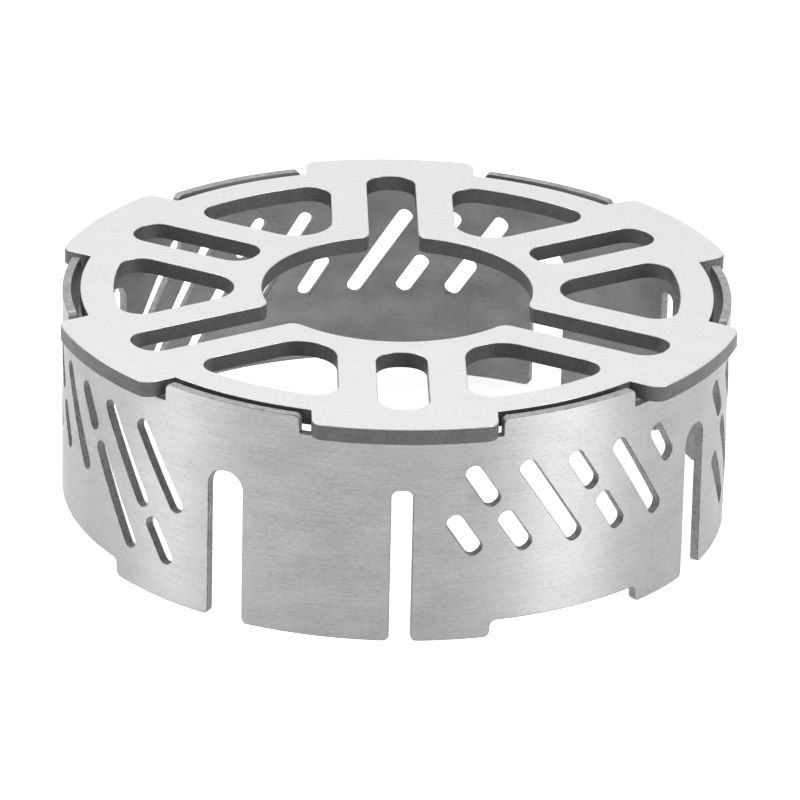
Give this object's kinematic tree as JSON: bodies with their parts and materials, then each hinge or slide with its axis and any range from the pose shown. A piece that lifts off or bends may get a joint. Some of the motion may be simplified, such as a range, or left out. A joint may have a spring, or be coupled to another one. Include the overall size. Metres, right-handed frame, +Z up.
{
  "type": "spirit stove stand",
  "caption": "Round steel pot stand and windshield for a small spirit burner: a slotted, six-armed plate that lifts off a vented, rolled wall.",
  "frame": {"origin": "centre of the ring on the surface the stand rests on", "axes": "+Z up along the ring's axis; -Y towards the front narrow slot of the wall, +X to the right seen from the front"},
  "size_m": [0.1238, 0.1294, 0.0427],
  "materials": {
    "plate": "brushed stainless steel, fine straight grain, laser-cut edges darker",
    "wall": "satin stainless steel, fine grain around the ring"
  },
  "bodies": {
    "wall": {"wall_ring": "wall"},
    "plate": {"top_plate": "plate"}
  },
  "joints": [
    {"name": "plate_lift", "type": "slide", "parent": "wall", "child": "plate", "axis": [0, 0, 1], "range_m": [0, 0.03]}
  ]
}
